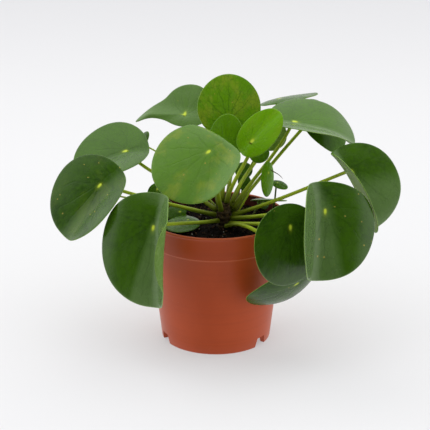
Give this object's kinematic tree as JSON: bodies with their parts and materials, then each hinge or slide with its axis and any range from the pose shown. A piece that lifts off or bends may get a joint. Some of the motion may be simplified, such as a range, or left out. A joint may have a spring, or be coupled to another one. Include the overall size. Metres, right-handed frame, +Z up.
{
  "type": "potted pilea plant",
  "caption": "Round-leaved pilea house plant with long stalks and folded glossy leaves, growing from a short woody crown in a terracotta-coloured plastic nursery pot.",
  "frame": {"origin": "centre of the whole plant's bounding box, at floor level under the pot's feet", "axes": "+X to the plant's right, the widest way across the leaves; +Y to its back; +Z up"},
  "size_m": [0.2928, 0.245, 0.2216],
  "materials": {
    "pot_plastic": "satin, terracotta colour",
    "soil": "dark crumbly potting soil",
    "bark": "rough scaly bark",
    "leaf_mature": "glossy waxy dark green leaf",
    "leaf_young": "glossy waxy bright green leaf",
    "petiole": "smooth yellow-green stalk"
  },
  "bodies": {
    "root": {"pot": "pot_plastic", "soil": "soil", "crown": "bark", "leaf_front_left": "leaf_mature", "petiole_front_left": "petiole", "leaf_far_left": "leaf_mature", "petiole_far_left": "petiole", "leaf_behind_far_left": "leaf_mature", "petiole_behind_far_left": "petiole", "leaf_left_upper": "leaf_mature", "petiole_left_upper": "petiole", "leaf_behind_left": "leaf_mature", "petiole_behind_left": "petiole", "leaf_back_left_top": "leaf_mature", "petiole_back_left_top": "petiole", "leaf_top_centre": "leaf_young", "petiole_top_centre": "petiole", "leaf_centre_front": "leaf_mature", "petiole_centre_front": "petiole", "leaf_young_left": "leaf_young", "petiole_young_left": "petiole", "leaf_young_right": "leaf_young", "petiole_young_right": "petiole", "leaf_right_top": "leaf_mature", "petiole_right_top": "petiole", "leaf_back_right_edge": "leaf_mature", "petiole_back_right_edge": "petiole", "leaf_behind_right": "leaf_mature", "petiole_behind_right": "petiole", "leaf_far_right": "leaf_mature", "petiole_far_right": "petiole", "leaf_front_right": "leaf_mature", "petiole_front_right": "petiole", "leaf_front_right_low": "leaf_mature", "petiole_front_right_low": "petiole", "leaf_lowest_right": "leaf_mature", "petiole_lowest_right": "petiole", "leaf_back_centre": "leaf_mature", "petiole_back_centre": "petiole", "leaf_back_small": "leaf_mature", "petiole_back_small": "petiole", "leaf_hanging_bud": "leaf_young", "petiole_hanging_bud": "petiole", "leaf_right_small": "leaf_mature", "petiole_right_small": "petiole", "leaf_right_flat": "leaf_mature", "petiole_right_flat": "petiole", "leaf_right_dark": "leaf_mature", "petiole_right_dark": "petiole", "leaf_soil_left_front": "leaf_mature", "petiole_soil_left_front": "petiole", "leaf_soil_left_back": "leaf_mature", "petiole_soil_left_back": "petiole", "leaf_back_striped": "leaf_mature", "petiole_back_striped": "petiole", "leaf_back_dark": "leaf_mature", "petiole_back_dark": "petiole", "leaf_left_hidden": "leaf_mature", "petiole_left_hidden": "petiole"}
  },
  "joints": []
}
